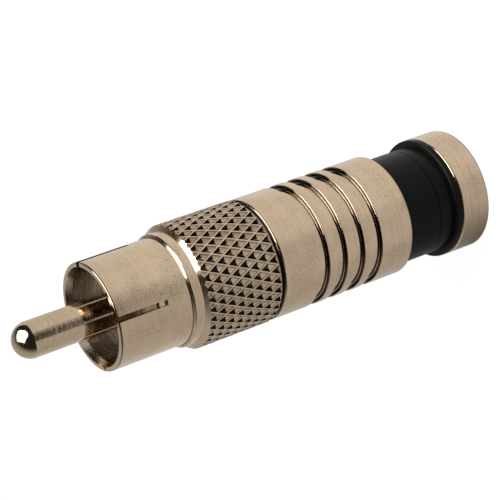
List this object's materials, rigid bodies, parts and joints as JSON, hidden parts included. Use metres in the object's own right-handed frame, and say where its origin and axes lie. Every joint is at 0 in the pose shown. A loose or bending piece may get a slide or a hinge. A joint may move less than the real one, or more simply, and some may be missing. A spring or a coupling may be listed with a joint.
{
  "type": "rca compression connector",
  "caption": "Phono plug for coaxial cable with a contact pin, slotted skirt, diamond-knurled shell, grooved body and a sliding compression sleeve with a metal end cap.",
  "frame": {"origin": "centre of the end cap's flat rear face, which it stands on", "axes": "+Z along the connector's axis, from the cable end towards the tip of the contact pin; one skirt slot lies on +X"},
  "size_m": [0.0112, 0.0112, 0.0465],
  "materials": {
    "shell_nickel": "bright nickel plate on turned and knurled brass",
    "pin_nickel": "bright nickel plate on turned brass",
    "insulator_white": "white turned plastic",
    "post_brass": "bright turned brass",
    "body_nickel": "bright nickel plate on turned brass",
    "sleeve_black": "black moulded plastic, satin",
    "cap_nickel": "bright nickel plate on turned brass"
  },
  "bodies": {
    "connector": {"plug_shell": "shell_nickel", "centre_pin": "pin_nickel", "pin_insulator": "insulator_white", "conductor_guide": "insulator_white", "inner_post": "post_brass", "body_shell": "body_nickel"},
    "compressor": {"compression_sleeve": "sleeve_black", "end_cap": "cap_nickel"}
  },
  "joints": [
    {"name": "compression", "type": "slide", "parent": "connector", "child": "compressor", "axis": [0, 0, 1], "range_m": [0, 0.0052]}
  ]
}
